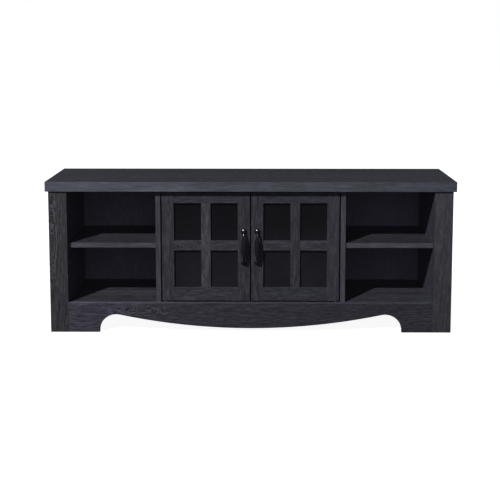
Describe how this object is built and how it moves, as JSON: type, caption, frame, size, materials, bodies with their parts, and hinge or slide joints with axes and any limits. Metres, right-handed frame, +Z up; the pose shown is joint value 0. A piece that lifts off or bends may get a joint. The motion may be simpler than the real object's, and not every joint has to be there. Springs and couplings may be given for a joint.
{
  "type": "media cabinet",
  "caption": "Long low media cabinet with a thick top, an open shelved bay at each end, glazed doors with black pulls in the middle and a scalloped apron.",
  "frame": {"origin": "middle of the whole cabinet's footprint, on the floor", "axes": "+X along the width to the viewer's right, -Y towards the front, +Z up"},
  "size_m": [1.473, 0.4074, 0.552],
  "materials": {
    "charcoal_laminate": "matt embossed oak-grain laminate on particle board, dark charcoal",
    "back_board": "matt printed hardboard",
    "clear_glass": "clear float glass",
    "black_gloss_metal": "gloss black cast metal",
    "zinc_steel": "zinc plated",
    "dowel_wood": "raw beech",
    "black_nylon": "moulded nylon",
    "black_vinyl": "extruded vinyl",
    "ferrite": "sintered magnet"
  },
  "bodies": {
    "cabinet": {"apron": "charcoal_laminate", "back_panel_nails": "zinc_steel", "bottom_panel": "charcoal_laminate", "cam_bolts": "zinc_steel", "cam_locks": "zinc_steel", "catch_bodies": "black_nylon", "catch_magnets": "ferrite", "catch_screws": "zinc_steel", "centre_back_panel": "back_board", "centre_shelf": "charcoal_laminate", "confirmat_screws": "zinc_steel", "left_back_panel": "back_board", "left_divider": "charcoal_laminate", "left_front_stile": "charcoal_laminate", "left_inner_side": "charcoal_laminate", "left_outer_side": "charcoal_laminate", "left_rear_spacer": "charcoal_laminate", "left_shelf": "charcoal_laminate", "pivot_bushes": "black_nylon", "rear_rail": "charcoal_laminate", "right_back_panel": "back_board", "right_divider": "charcoal_laminate", "right_front_stile": "charcoal_laminate", "right_inner_side": "charcoal_laminate", "right_outer_side": "charcoal_laminate", "right_rear_spacer": "charcoal_laminate", "right_shelf": "charcoal_laminate", "shelf_pins": "zinc_steel", "top_panel": "charcoal_laminate", "wood_dowels": "dowel_wood"},
    "left_door": {"left_door_bottom_rail": "charcoal_laminate", "left_door_dowels": "dowel_wood", "left_door_glass": "clear_glass", "left_door_glazing_beads": "black_vinyl", "left_door_handle": "black_gloss_metal", "left_door_handle_screws": "zinc_steel", "left_door_hinge_stile": "charcoal_laminate", "left_door_lock_stile": "charcoal_laminate", "left_door_mullion": "charcoal_laminate", "left_door_muntins": "charcoal_laminate", "left_door_pivot_pins": "zinc_steel", "left_door_strike_plate": "zinc_steel", "left_door_strike_screws": "zinc_steel", "left_door_top_rail": "charcoal_laminate"},
    "right_door": {"right_door_bottom_rail": "charcoal_laminate", "right_door_dowels": "dowel_wood", "right_door_glass": "clear_glass", "right_door_glazing_beads": "black_vinyl", "right_door_handle": "black_gloss_metal", "right_door_handle_screws": "zinc_steel", "right_door_hinge_stile": "charcoal_laminate", "right_door_lock_stile": "charcoal_laminate", "right_door_mullion": "charcoal_laminate", "right_door_muntins": "charcoal_laminate", "right_door_pivot_pins": "zinc_steel", "right_door_strike_plate": "zinc_steel", "right_door_strike_screws": "zinc_steel", "right_door_top_rail": "charcoal_laminate"}
  },
  "joints": [
    {"name": "left_door_hinge", "type": "hinge", "parent": "cabinet", "child": "left_door", "pos_m": [-0.308, -0.16475, 0.3125], "axis": [0, 0, -1], "range_deg": [0, 110]},
    {"name": "right_door_hinge", "type": "hinge", "parent": "cabinet", "child": "right_door", "pos_m": [0.308, -0.16475, 0.3125], "axis": [0, 0, 1], "range_deg": [0, 110]}
  ]
}
